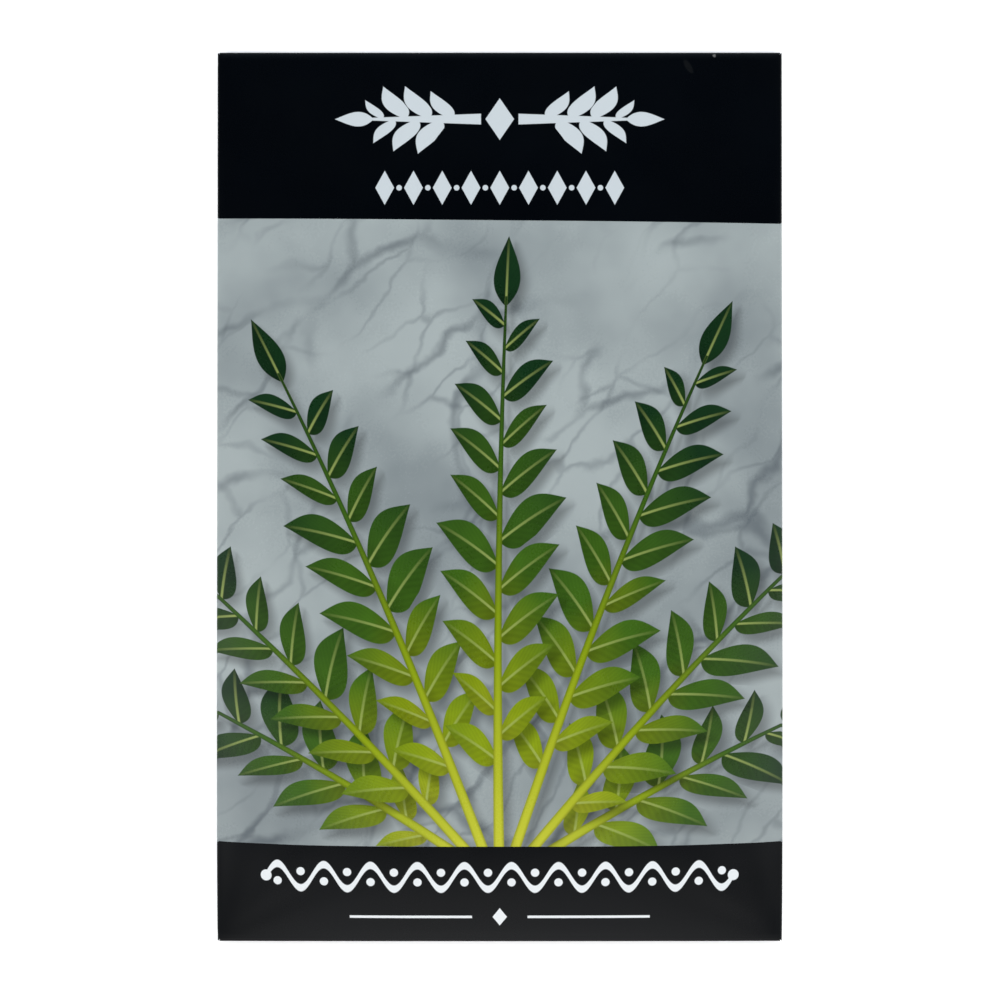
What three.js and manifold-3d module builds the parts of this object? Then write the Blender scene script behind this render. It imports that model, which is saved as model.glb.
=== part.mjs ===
// A paper seed packet: one blank, folded and glued into a flat pouch, with its seeds inside.
// Millimetres, +Z up. The packet lies on its back with its top edge towards +Y.
// The origin is under its middle, on the surface that it lies on.
import * as THREE from "three";
import { mergeVertices } from "three/addons/utils/BufferGeometryUtils.js";
import Module from "manifold-3d";

const wasm = await Module();
wasm.setup();

// Folded packet
const WIDTH = 101.6;
const HEIGHT = 160;
const PAPER = 0.15; // thickness of the sheet
const FOLD_GAP = 0.4; // clear space between front and back along the folded edges
const FOLD_ROUND = 0.25; // how far a folded edge rounds over
const GLUED = 0.05; // how deep a glued layer is sunk into the layer that carries it

// Fullness: the seeds settle towards the bottom edge and push the front panel up there
const BULGE = 6;
const BULGE_POWER = 3; // the front stays full across the middle and falls away near the side folds
const FULLEST_AT = 0.5; // power that moves the fullest place down towards the bottom edge
const FULLNESS_POWER = 1.6; // how quickly the front flattens out towards the top edge
const EDGE_LIFT = 0.8; // how far the side folds rise off the surface beside the seeds
const FLAT_SHARE = 0.5; // share of the half width over which the back lies flat

// Flaps and tab, all parts of the same blank
const FLAP_INSET = 1.5; // each flap is this much narrower than the packet at its fold, each side
const FLAP_TAPER = 6; // and this much narrower again at its free edge
const FLAP_CORNER = 3; // radius of the flaps' free corners
const BOTTOM_FLAP = 16;
const TOP_FLAP = 22;
const FLAP_RAMP = 8; // the back panel comes down off a flap over this length
const THROAT = 5; // the back panel ends this far below the top fold
const TAB_WIDTH = 12;
const TAB_END = 8; // the side tab stops this far short of the top and bottom folds

// Grid of the sheets
const COLUMNS = 16;
const ROWS = 22;

// Seeds: a low mound, with ribbed seeds standing out of it
const SEED_LENGTH = 6.4;
const SEED_RADIUS = 1.15;
const SEED_FLATNESS = 0.85;
const SEED_RIBS = 5;
const RIB_DEPTH = 0.12;
const SEED_COUNT = 84;
const HEAP_CENTRE = -34;
const HEAP_HALF_WIDTH = 32;
const HEAP_HALF_HEIGHT = 25;
const HEAP_RISE = 1.7; // how much higher the seeds lie in the middle of the mound than at its rim
const SEED_CLEARANCE = 0.35;
const TURN_RANDOM_SEED = 20;

const halfWidth = WIDTH / 2;
const halfHeight = HEIGHT / 2;
const lerp = THREE.MathUtils.lerp;

// Forms that the panels share

// Share of the full bulge at a height on the packet: 0 at both ends, 1 where the seeds lie.
function fullness(y) {
  const up = THREE.MathUtils.clamp((y + halfHeight) / HEIGHT, 0, 1);
  return Math.max(0, Math.sin(Math.PI * up ** FULLEST_AT)) ** FULLNESS_POWER;
}

// Height of the lowest layer above the surface: flat in the middle, lifting towards the side folds.
function lift(x, y) {
  const out = Math.max(0, Math.abs(x) / halfWidth - FLAT_SHARE) / (1 - FLAT_SHARE);
  return EDGE_LIFT * out ** 2 * fullness(y);
}

// The back panel lies on the flaps at both ends, and on the surface between them.
function overFlaps(y) {
  const pastBottom = (y + halfHeight - BOTTOM_FLAP) / FLAP_RAMP;
  const pastTop = (halfHeight - TOP_FLAP - y) / FLAP_RAMP;
  return 1 - THREE.MathUtils.clamp(Math.min(pastBottom, pastTop), 0, 1);
}

function backOuter(x, y) {
  return lift(x, y) + PAPER * overFlaps(y);
}

function frontOuter(x, y) {
  const across = 1 - Math.min(1, Math.abs(x) / halfWidth) ** BULGE_POWER;
  return lift(x, y) + 3 * PAPER + FOLD_GAP + BULGE * across * fullness(y);
}

// Solids

function toSolid(geometry) {
  geometry.deleteAttribute("normal");
  geometry.deleteAttribute("uv");
  const merged = mergeVertices(geometry);
  return new wasm.Manifold(
    new wasm.Mesh({
      numProp: 3,
      vertProperties: merged.attributes.position.array,
      triVerts: new Uint32Array(merged.index.array),
    }),
  );
}

function toMesh(name, solid, material) {
  const { vertProperties, triVerts } = solid.getMesh();
  const geometry = new THREE.BufferGeometry();
  geometry.setAttribute("position", new THREE.BufferAttribute(vertProperties, 3));
  geometry.setIndex(new THREE.BufferAttribute(triVerts, 1));
  geometry.computeVertexNormals();
  const mesh = new THREE.Mesh(geometry, material);
  mesh.name = name;
  return mesh;
}

// Moves every vertex of a geometry by a function that changes the vector it is given.
function reshape(geometry, move) {
  const position = geometry.getAttribute("position");
  const point = new THREE.Vector3();
  for (let i = 0; i < position.count; i += 1) {
    point.fromBufferAttribute(position, i);
    move(point);
    position.setXYZ(i, point.x, point.y, point.z);
  }
  return geometry;
}

// A flat box over the whole packet, with a grid on both faces. The underside's squares are split
// along the other diagonal than BoxGeometry gives them, so that both faces have the same triangles
// and thin layers can't cross.
function gridBox(edgeSteps) {
  const box = new THREE.BoxGeometry(WIDTH, HEIGHT, 2, COLUMNS, ROWS, edgeSteps);
  const underside = box.groups[5];
  const index = box.getIndex();
  for (let i = underside.start; i < underside.start + underside.count; i += 6) {
    const [a, b, d, , c] = [0, 1, 2, 3, 4].map((k) => index.getX(i + k));
    [a, b, c, a, c, d].forEach((corner, k) => index.setX(i + k, corner));
  }
  return box;
}

// Draws a point of the flat grid in from the packet's edges, the same way for every layer, so that
// the layers' facets lie on each other.
function drawIn(p, distance) {
  p.x *= 1 - distance / halfWidth;
  p.y *= 1 - distance / halfHeight;
}

// A closed pillow between the packet's back and front faces, drawn in by `inset` on every side.
function pillow(inset) {
  return toSolid(
    reshape(gridBox(2), (p) => {
      const side = p.z; // -1 on the back, 0 along the folds and 1 on the front
      const low = backOuter(p.x, p.y) + inset;
      const high = frontOuter(p.x, p.y) - inset;
      drawIn(p, inset + FOLD_ROUND * Math.abs(side));
      p.z = lerp(low, high, (side + 1) / 2);
    }),
  );
}

// A sheet over the whole packet, from one surface to another, cut to an outline.
function cutSheet(outline, inset, low, high) {
  const sheet = reshape(gridBox(1), (p) => {
    const z = p.z < 0 ? low(p.x, p.y) : high(p.x, p.y);
    drawIn(p, inset + FOLD_ROUND);
    p.z = z;
  });
  const depth = 2 * BULGE;
  const cutter = new THREE.ExtrudeGeometry(outline, { depth, bevelEnabled: false, curveSegments: 3 });
  return toSolid(sheet).intersect(toSolid(cutter.translate(0, 0, -depth / 2)));
}

// A flap's outline: wide at its fold, narrower at its rounded free edge. `inward` is 1 where the
// free edge lies above the fold, and -1 where it lies below it.
function flapOutline(foldY, length, inward) {
  const wide = halfWidth - FLAP_INSET;
  const narrow = wide - FLAP_TAPER;
  const free = foldY + inward * length;
  const slope = FLAP_CORNER * (FLAP_TAPER / length);
  const shape = new THREE.Shape();
  shape.moveTo(-wide, foldY);
  shape.lineTo(wide, foldY);
  shape.lineTo(narrow + slope, free - inward * FLAP_CORNER);
  shape.quadraticCurveTo(narrow, free, narrow - FLAP_CORNER, free);
  shape.lineTo(FLAP_CORNER - narrow, free);
  shape.quadraticCurveTo(-narrow, free, -narrow - slope, free - inward * FLAP_CORNER);
  shape.closePath();
  return shape;
}

function rectangle(left, right, bottom, top) {
  const corners = [
    [left, bottom],
    [right, bottom],
    [right, top],
    [left, top],
  ];
  return new THREE.Shape(corners.map(([x, y]) => new THREE.Vector2(x, y)));
}

// The envelope

function flap(foldY, length, inward) {
  const underBack = (x, y) => lift(x, y) + PAPER + GLUED;
  return cutSheet(flapOutline(foldY, length, inward), 0, lift, underBack);
}

// The tab folds in from the left side and is glued inside the back panel.
function sideTab() {
  const left = -halfWidth + PAPER + FOLD_ROUND;
  const outline = rectangle(left, -halfWidth + TAB_WIDTH, -halfHeight + TAB_END, halfHeight - TAB_END);
  const onBack = (x, y) => backOuter(x, y) + PAPER - GLUED;
  const tabTop = (x, y) => backOuter(x, y) + 2 * PAPER;
  return cutSheet(outline, PAPER, onBack, tabTop);
}

// The pouch's mouth: between the back panel's top edge and the top fold nothing closes the ends of
// the fold, so the inside stays open to the air there, behind the top flap.
function mouth() {
  const clear = 1;
  const foldInside = halfHeight - PAPER - FOLD_ROUND;
  const outline = rectangle(-halfWidth - clear, halfWidth + clear, halfHeight - THROAT, foldInside);
  const floor = PAPER;
  const depth = PAPER + FOLD_GAP;
  const slot = new THREE.ExtrudeGeometry(outline, { depth, bevelEnabled: false });
  return toSolid(slot.translate(0, 0, floor));
}

function envelope() {
  return pillow(0)
    .subtract(pillow(PAPER))
    .add(sideTab())
    .add(flap(-halfHeight + FOLD_ROUND, BOTTOM_FLAP, 1))
    .add(flap(halfHeight - FOLD_ROUND, TOP_FLAP, -1))
    .subtract(mouth());
}

// The seeds

// A repeatable random number from 0 to 1.
function randomSource(start) {
  let state = start;
  return () => {
    state = (Math.imul(state, 1664525) + 1013904223) >>> 0;
    return state / 2 ** 32;
  };
}

// One seed along +X: a spindle with ribs along its length.
function seedGeometry() {
  const half = SEED_LENGTH / 2;
  const profile = [
    [0, -half],
    [SEED_RADIUS, -0.4 * half],
    [0.94 * SEED_RADIUS, 0.35 * half],
    [0, half],
  ];
  const points = profile.map(([radius, along]) => new THREE.Vector2(radius, along));
  const spindle = new THREE.LatheGeometry(points, 2 * SEED_RIBS);
  reshape(spindle, (p) => {
    const round = Math.atan2(p.x, p.z);
    const rib = 1 + RIB_DEPTH * Math.cos(SEED_RIBS * round);
    p.set(p.x * rib, p.y, p.z * rib * SEED_FLATNESS);
  });
  return spindle.rotateZ(-Math.PI / 2);
}

// How far a place is from the middle of the mound, 1 at its rim.
function outwards(x, y) {
  return Math.hypot(x / HEAP_HALF_WIDTH, (y - HEAP_CENTRE) / HEAP_HALF_HEIGHT);
}

// Height of the seeds' own middles: lowest at the rim, where they lie on the back panel.
function seedLevel(x, y) {
  const rise = HEAP_RISE * Math.max(0, 1 - outwards(x, y) ** 2);
  return backOuter(x, y) + PAPER + SEED_CLEARANCE + SEED_RADIUS * (1 + RIB_DEPTH) + rise;
}

// The seeds under the top layer, as one low mound that the top layer is half sunk in.
function mound() {
  const rings = 6;
  const around = 24;
  const ball = new THREE.SphereGeometry(1, around, rings).rotateX(Math.PI / 2);
  return toSolid(
    reshape(ball, (p) => {
      const x = p.x * HEAP_HALF_WIDTH;
      const y = HEAP_CENTRE + p.y * HEAP_HALF_HEIGHT;
      const low = backOuter(x, y) + PAPER + SEED_CLEARANCE;
      p.set(x, y, lerp(low, seedLevel(x, y), (p.z + 1) / 2));
    }),
  );
}

// Sunflower spacing covers the mound evenly, and each seed is turned at random.
function seeds() {
  const random = randomSource(TURN_RANDOM_SEED);
  const goldenAngle = Math.PI * (3 - Math.sqrt(5));
  let heap = mound();
  for (let i = 0; i < SEED_COUNT; i += 1) {
    const out = Math.sqrt((i + 0.5) / SEED_COUNT);
    const round = i * goldenAngle;
    const x = out * HEAP_HALF_WIDTH * Math.cos(round);
    const y = HEAP_CENTRE + out * HEAP_HALF_HEIGHT * Math.sin(round);
    const seed = seedGeometry().rotateZ(Math.PI * random());
    heap = heap.add(toSolid(seed.translate(x, y, seedLevel(x, y))));
  }
  return heap;
}

const printedPaper = new THREE.MeshStandardMaterial({ color: 0xa3adad, roughness: 0.5, metalness: 0 });
const driedSeed = new THREE.MeshStandardMaterial({ color: 0x9a8f5c, roughness: 0.75, metalness: 0 });

const packet = new THREE.Group();
packet.add(toMesh("envelope", envelope(), printedPaper));
packet.add(toMesh("seeds", seeds(), driedSeed));

export default packet;
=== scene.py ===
# %% [markdown]
# # A printed seed packet
#
# A seed packet is one sheet of printed paper. It is cut to a blank, folded round into a flat pouch and
# glued, and a pinch of seeds lies inside it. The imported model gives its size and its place. This lesson
# folds the same blank in Blender, prints it with shader nodes, and fills it with seeds.

import math
import random
from collections import namedtuple

import bmesh
import bpy
from mathutils import Matrix, Vector, noise


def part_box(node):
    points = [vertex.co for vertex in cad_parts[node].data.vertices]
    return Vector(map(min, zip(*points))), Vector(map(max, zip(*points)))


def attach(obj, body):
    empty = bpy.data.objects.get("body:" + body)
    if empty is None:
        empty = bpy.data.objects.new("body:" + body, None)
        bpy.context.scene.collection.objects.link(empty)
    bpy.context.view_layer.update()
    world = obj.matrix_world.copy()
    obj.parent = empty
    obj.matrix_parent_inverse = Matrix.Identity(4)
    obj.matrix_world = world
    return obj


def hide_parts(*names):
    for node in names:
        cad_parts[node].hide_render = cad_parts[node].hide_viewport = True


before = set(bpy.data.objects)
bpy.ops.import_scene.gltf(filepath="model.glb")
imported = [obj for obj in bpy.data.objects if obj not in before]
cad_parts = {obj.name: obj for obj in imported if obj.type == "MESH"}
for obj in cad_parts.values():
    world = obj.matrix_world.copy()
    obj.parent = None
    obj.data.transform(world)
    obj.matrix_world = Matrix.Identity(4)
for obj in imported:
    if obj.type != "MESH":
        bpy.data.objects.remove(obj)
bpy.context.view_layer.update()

MM = 0.001
lowest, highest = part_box("envelope")
width = highest.x - lowest.x
height = highest.y - lowest.y
half_width = width / 2
half_height = height / 2
print(f"the packet is {width / MM:.1f} by {height / MM:.1f} mm")

# %% [markdown]
# ## The camera
#
# The packet was photographed from straight above, so a camera with no turn at all already looks the right
# way: down, with the packet's top edge up in the picture. The lens follows from how much of the picture
# the packet fills. A camera this near shows the swollen front a little larger than the flat edges, which
# is why the lower band's edge bows in the picture.

# %% Set up the camera
PICTURE_PIXELS = 1000
PACKET_PIXELS = 564  # the packet's width in the picture
PACKET_MIDDLE = (499.75, 496.75)  # the packet's middle in the picture
CAMERA_HEIGHT = 250 * MM  # above the packet's edges
EDGE_LEVEL = 0.45 * MM  # height of the folded edges above the table

pixel = width / PACKET_PIXELS
camera = bpy.data.objects.new("camera", bpy.data.cameras.new("camera"))
camera.data.lens = camera.data.sensor_width * CAMERA_HEIGHT / (PICTURE_PIXELS * pixel)
camera.location = (
    (PICTURE_PIXELS / 2 - PACKET_MIDDLE[0]) * pixel,
    (PACKET_MIDDLE[1] - PICTURE_PIXELS / 2) * pixel,
    EDGE_LEVEL + CAMERA_HEIGHT,
)
camera.data.clip_start = 10 * MM
bpy.context.collection.objects.link(camera)
bpy.context.scene.camera = camera
print(f"the lens is {camera.data.lens:.1f} mm")

# %% [markdown]
# ## Shader maths as Python
#
# The print is drawn with Math nodes, and there are many of them. A small class wraps a node's output, so
# that a line of Python such as `1 - mask` adds the node for it. A second class holds a material while it
# is being mixed, and makes every other kind of node.

# %% Wrap sockets and materials
class Value:
    """A number, colour or vector that changes over a surface: the output socket of a shader node."""

    def __init__(self, finish, socket):
        self.finish = finish
        self.socket = socket

    def output(self, name):
        """Another output of the same node."""
        return Value(self.finish, open_socket(self.socket.node.outputs, name))

    def __add__(self, other):
        return self.finish.maths("ADD", self, other)

    def __sub__(self, other):
        return self.finish.maths("SUBTRACT", self, other)

    def __rsub__(self, other):
        return self.finish.maths("SUBTRACT", other, self)

    def __mul__(self, other):
        return self.finish.maths("MULTIPLY", self, other)

    def __truediv__(self, other):
        return self.finish.maths("DIVIDE", self, other)

    def __gt__(self, other):
        return self.finish.maths("GREATER_THAN", self, other)

    def __lt__(self, other):
        return self.finish.maths("LESS_THAN", self, other)

    def __abs__(self):
        return self.finish.maths("ABSOLUTE", self)

    __radd__ = __add__
    __rmul__ = __mul__


def open_socket(sockets, name):
    """A node's socket by place or by name. Hidden sockets of the same name are passed over."""
    if isinstance(name, int):
        return sockets[name]
    return next(socket for socket in sockets if socket.enabled and socket.name == name)


class Finish:
    """A material, or the world, while its nodes are being made."""

    def __init__(self, holder):
        self.holder = holder
        holder.use_nodes = True
        self.tree = holder.node_tree
        self.tree.nodes.clear()

    def add(self, kind, settings, sockets):
        """One node: first its settings, then the values or links of its sockets."""
        node = self.tree.nodes.new("ShaderNode" + kind)
        for name, setting in settings.items():
            if name == "stops":
                while len(node.color_ramp.elements) < len(setting):
                    node.color_ramp.elements.new(1)
                for element, (place, tone) in zip(node.color_ramp.elements, setting):
                    element.position = place
                    element.color = tone
            else:
                setattr(node, name, setting)
        for name, value in sockets.items():
            socket = open_socket(node.inputs, name)
            if isinstance(value, Value):
                self.tree.links.new(value.socket, socket)
            else:
                socket.default_value = value
        shown = [socket for socket in node.outputs if socket.enabled]
        return Value(self, shown[0]) if shown else None

    def maths(self, operation, *values):
        return self.add("Math", {"operation": operation}, dict(enumerate(values)))

    def smooth(self, value, low, high):
        """0 where value is at low, 1 where it is at high, and an even slope between."""
        limits = {"Value": value, "From Min": low, "From Max": high}
        return self.add("MapRange", {"interpolation_type": "SMOOTHSTEP"}, limits)

    def largest(self, *values):
        result = values[0]
        for value in values[1:]:
            result = self.maths("MAXIMUM", result, value)
        return result

    def smallest(self, *values):
        result = values[0]
        for value in values[1:]:
            result = self.maths("MINIMUM", result, value)
        return result

    def mottle(self, place, size, detail, number):
        """Soft random patches of about one size. Each number gives another pattern."""
        sockets = {"Vector": place, "W": number, "Scale": 1 / size, "Detail": detail}
        return self.add("TexNoise", {"noise_dimensions": "4D"}, sockets)

    def over(self, below, above, share):
        """One colour laid over another."""
        return self.add("Mix", {"data_type": "RGBA"}, {"Factor": share, "A": below, "B": above})

    def dimmed(self, tone, share):
        """A colour made darker or lighter by a share."""
        base = tone if isinstance(tone, Value) else tone[:3]
        return self.add("VectorMath", {"operation": "SCALE"}, {0: base, "Scale": share})

    def surface(self, tone, roughness, tooth, depth, shine):
        """Ends the material: tone and roughness vary, tooth is a fine relief of the given depth."""
        bump = self.add("Bump", {}, {"Height": tooth, "Distance": depth, "Strength": 1.0})
        sockets = {"Base Color": tone, "Roughness": roughness, "Normal": bump, "Specular IOR Level": shine}
        shader = self.add("BsdfPrincipled", {}, sockets)
        self.add("OutputMaterial", {}, {"Surface": shader})
        print(f"{self.holder.name}: {len(self.tree.nodes)} nodes")
        return self.holder


def new_finish(name):
    return Finish(bpy.data.materials.new(name))


def colour(red, green, blue):
    """A colour as a screen gives it, 0 to 255, in the linear light that shaders work in."""
    shares = (red / 255, green / 255, blue / 255)
    return tuple(c / 12.92 if c <= 0.04045 else ((c + 0.055) / 1.055) ** 2.4 for c in shares) + (1.0,)


# %% [markdown]
# ## The studio
#
# A glossy black print mirrors whatever stands above it. In a light tent the sides glow and the hole for the
# camera stays dark, so the flat part of the print stays black, and only the slope at the bottom catches
# some light. The hole lies a little towards the packet's top edge, which keeps the upper band the darker
# one. A large soft lamp, low beyond the top edge, gives the light a direction and the top fold a cool sheen.
# The floor is a light table: it glows a little itself, so that hardly any shadow shows round the packet.

# %% Build the tent and the lamp
TENT_BRIGHTNESS = 1.82
TENT_TONE = (1.0, 1.0, 1.0, 1.0)
HOLE_TONE = (0.006, 0.012, 0.024, 1.0)
HOLE_LEAN = math.radians(12)
HOLE_RIM = (0.6, 0.88)  # cosines of the angles from the hole's middle at which its rim ends and starts
LAMP_PLACE = Vector((0, 0.85, 0.5))
LAMP_SIZE = 0.9
LAMP_POWER = 3.0
LAMP_TONE = (0.6, 0.8, 1.0)

world = bpy.data.worlds.new("tent")
bpy.context.scene.world = world
tent = Finish(world)
direction = tent.add("TexCoord", {}, {})
hole_middle = (0, math.sin(HOLE_LEAN), math.cos(HOLE_LEAN))
toward_hole = tent.add("VectorMath", {"operation": "DOT_PRODUCT"}, {0: direction, 1: hole_middle})
tent_tone = tent.over(TENT_TONE, HOLE_TONE, tent.smooth(toward_hole.output("Value"), *HOLE_RIM))
glow = tent.add("Background", {}, {"Color": tent_tone, "Strength": TENT_BRIGHTNESS})
tent.add("OutputWorld", {}, {"Surface": glow})

lamp = bpy.data.objects.new("lamp", bpy.data.lights.new("lamp", "AREA"))
lamp.data.size = LAMP_SIZE
lamp.data.energy = LAMP_POWER
lamp.data.color = LAMP_TONE
lamp.location = LAMP_PLACE
lamp.rotation_euler = (-LAMP_PLACE).to_track_quat("-Z", "Y").to_euler()
bpy.context.collection.objects.link(lamp)
bpy.context.scene.view_settings.view_transform = "Standard"
print(f"the lamp stands {LAMP_PLACE.length:.2f} m away")

# %% Lay the floor
FLOOR_SIZE = 6.0
FLOOR_DROP = 0.04 * MM  # keeps the floor clear of the paper that lies on it
FLOOR_TONES = (colour(252, 252, 252), colour(254, 254, 254))
FLOOR_ROUGHNESS = 0.9
FLOOR_PATCH = 0.2  # size of the floor's faint patches
FLOOR_GLOW = 0.2

floor_paint = new_finish("floor_paint")
floor_place = floor_paint.add("TexCoord", {}, {}).output("Object")
floor_tone = floor_paint.over(*FLOOR_TONES, floor_paint.mottle(floor_place, FLOOR_PATCH, detail=2, number=0))
floor_look = {"Base Color": floor_tone, "Roughness": FLOOR_ROUGHNESS, "Specular IOR Level": 0.0}
floor_light = {"Emission Color": FLOOR_TONES[1], "Emission Strength": FLOOR_GLOW}
floor_shader = floor_paint.add("BsdfPrincipled", {}, {**floor_look, **floor_light})
floor_paint.add("OutputMaterial", {}, {"Surface": floor_shader})

floor_shape = bmesh.new()
bmesh.ops.create_grid(floor_shape, x_segments=8, y_segments=8, size=FLOOR_SIZE / 2)
bmesh.ops.translate(floor_shape, verts=floor_shape.verts, vec=(0, 0, -FLOOR_DROP))
floor = bpy.data.objects.new("floor", bpy.data.meshes.new("floor"))
floor_shape.to_mesh(floor.data)
floor_shape.free()
floor.data.materials.append(floor_paint.holder)
bpy.context.collection.objects.link(floor)

# %% [markdown]
# ## How the packet is filled
#
# The seeds settle towards the bottom edge and push the front panel up, and the side folds rise a little off
# the table beside them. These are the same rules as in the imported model, so that the paper lies where the
# solid is: each gives the outer face of a layer.

# %% Heights of the layers
PAPER = 0.15 * MM
FOLD_GAP = 0.4 * MM  # clear space between front and back along the folded edges
BULGE = 6.0 * MM
BULGE_POWER = 3
FULLEST_AT = 0.5  # power that moves the fullest place down towards the bottom edge
FULLNESS_POWER = 1.6
EDGE_LIFT = 0.8 * MM
FLAT_SHARE = 0.5  # share of the half width over which the back lies flat
BOTTOM_FLAP = 16 * MM
TOP_FLAP = 22 * MM
FLAP_RAMP = 8 * MM  # the back panel comes down off a flap over this length
FRONT_STACK = 2.5  # papers from the table to the middle of the front: a flap, the back and half the front

fold_radius = PAPER + FOLD_GAP / 2  # of the middle of the sheet, round a folded edge
edge_x = half_width - fold_radius - PAPER / 2  # where the side folds start to turn
edge_y = half_height - fold_radius - PAPER / 2


def clamp(value):
    return min(1, max(0, value))


def fullness(y):
    """Share of the full bulge at a height on the packet."""
    up = clamp((y + half_height) / height)
    return max(0, math.sin(math.pi * up**FULLEST_AT)) ** FULLNESS_POWER


def lift(x, y):
    """Height of the lowest layer above the table."""
    out = max(0, abs(x) / half_width - FLAT_SHARE) / (1 - FLAT_SHARE)
    return EDGE_LIFT * out**2 * fullness(y)


def back_level(x, y):
    """The middle of the back panel, which lies on the flaps at both ends."""
    past_bottom = (y + half_height - BOTTOM_FLAP) / FLAP_RAMP
    past_top = (half_height - TOP_FLAP - y) / FLAP_RAMP
    return lift(x, y) + PAPER / 2 + PAPER * (1 - clamp(min(past_bottom, past_top)))


def flap_level(x, y):
    return lift(x, y) + PAPER / 2


def tab_level(x, y):
    """The side tab is glued inside the back panel."""
    return back_level(x, y) + PAPER


half_steps = round(half_height / MM)
fullest_y = max((step * MM for step in range(-half_steps, half_steps)), key=fullness)
print(f"the front is fullest {(fullest_y + half_height) / MM:.0f} mm above the bottom edge")

# %% [markdown]
# ## How the paper gives
#
# Paper doesn't stretch. Where a flat front has to swell, it answers with long shallow waves, with short
# buckles along the side folds and with creases that run in from the two lower corners, and the seeds press
# through a little. Each is a small height that fades out at the folds.

# %% Small heights on the front
WAVE_LENGTH = 46 * MM
WAVE_HEIGHT = 0.3 * MM
SEED_PRESS = 0.24 * MM
SEED_PITCH = 5.5 * MM
BUCKLE_LENGTH = 13 * MM
BUCKLE_HEIGHT = 0.12 * MM
CORNER_REACH = 15 * MM
CORNER_HEIGHT = 0.4 * MM
CORNER_CREASES = 5  # creases across the quarter turn at a corner
CORNER_TURN = 0.6  # radians, so that the two corners' creases differ
FOLD_FADE = 8  # power with which the small heights fade out towards the folds
BUCKLE_FADE = 5  # power with which the buckles fade out away from the side folds
BUCKLE_WANDER = 2  # radians by which the buckles' spacing wanders
WAVE_SLICE, SEED_SLICE, BUCKLE_SLICE = 0.37, 4.2, 7.3  # where each pattern cuts through the noise
PROBE_STEP = 2  # millimetres between the places at which the heights are read
HEAP_CENTRE = -34 * MM
HEAP_HALF_WIDTH = 32 * MM
HEAP_HALF_HEIGHT = 25 * MM


def outwards(x, y):
    """How far a place is from the middle of the heap of seeds, 1 at its rim."""
    return math.hypot(x / HEAP_HALF_WIDTH, (y - HEAP_CENTRE) / HEAP_HALF_HEIGHT)


def give(x, y):
    """How far the front stands off its even swelling."""
    side = abs(x) / edge_x
    end = abs(y) / edge_y
    inside = (1 - clamp(side) ** FOLD_FADE) * (1 - clamp(end) ** FOLD_FADE)
    waves = WAVE_HEIGHT * noise.noise(Vector((x / WAVE_LENGTH, y / WAVE_LENGTH, WAVE_SLICE)))
    over_seeds = math.exp(-outwards(x, y) ** 4)
    pressed = SEED_PRESS * over_seeds * noise.noise(Vector((x / SEED_PITCH, y / SEED_PITCH, SEED_SLICE)))
    wander = BUCKLE_WANDER * noise.noise(Vector((y / WAVE_LENGTH, BUCKLE_SLICE, math.copysign(1, x))))
    ripple = math.sin(2 * math.pi * y / BUCKLE_LENGTH + wander)
    buckles = BUCKLE_HEIGHT * ripple * side**BUCKLE_FADE * fullness(y)
    from_side = edge_x - abs(x)
    from_bottom = y + edge_y
    reach = math.hypot(from_side, from_bottom) / CORNER_REACH
    turn = math.atan2(from_bottom, from_side)
    fan = math.sin(2 * CORNER_CREASES * turn + math.copysign(CORNER_TURN, x))
    creases = CORNER_HEIGHT * fan * reach * math.exp(1 - reach * 2)
    return (waves + pressed + buckles + creases * clamp(2 * turn)) * inside


def front_level(x, y):
    """The middle of the front panel."""
    across = 1 - min(1, abs(x) / edge_x) ** BULGE_POWER
    even = lift(x, y) + FRONT_STACK * PAPER + FOLD_GAP + BULGE * across * fullness(y)
    return even + give(x, y)


def probes(half):
    """Places from side to side, up to half a width or height from the middle."""
    steps = int(half / MM)
    return [step * MM for step in range(-steps, steps + 1, PROBE_STEP)]


tallest_give = max(abs(give(x, y)) for x in probes(half_width) for y in probes(half_height))
print(f"the front's small heights reach {tallest_give / MM:.2f} mm")

# %% [markdown]
# ## The flat blank
#
# The blank has a front, a back on its right, a glue tab on its left, and a flap at each end. It starts as
# one grid whose lines lie where the blank needs them: close together round the folds, and one exactly at
# each edge of the printed bands, so that the bands end sharply. The four corners that no panel covers are
# cut away, and the flaps, the tab and the back are trimmed by drawing their grid lines in.

# %% Lay out the blank
FOLD_TURN = 0.95 * MM  # paper that a folded edge takes up
FOLD_STEPS = 6
GRID_STEP = 1.15 * MM
COARSE_STEP = 1.7 * MM
TAB_WIDTH = 12 * MM
TAB_END = 8 * MM  # the tab stops this far short of the packet's ends
BACK_SHORT = 1.0 * MM  # the back ends this far short of the left fold
THROAT = 5 * MM  # the back panel ends this far below the top fold
BACK_CLEAR = 0.5 * MM  # the back's lower edge stays this far inside the bottom fold
TRIM_RUN = 4 * MM  # the trims run in from the folds over this length
FLAP_INSET = 1.5 * MM
FLAP_TAPER = 6 * MM
FLAP_CORNER = 3 * MM
TITLE_EDGE = 49.79 * MM  # lower edge of the title band
TITLE_SLANT = -0.0092  # the band is printed a little out of square
SLANT_FADE = 6 * MM
MAKER_EDGE = -62.1 * MM  # upper edge of the maker's band

fold_u = half_width + FOLD_TURN
fold_v = half_height + FOLD_TURN


def lines(*runs):
    """Positions along the blank: each run is a start and a spacing, and the last is where the blank ends."""
    places = []
    for (start, spacing), (end, _) in zip(runs, runs[1:]):
        count = max(1, round((end - start) / spacing))
        places += [start + (end - start) * i / count for i in range(count)]
    return places + [runs[-1][0]]


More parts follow.
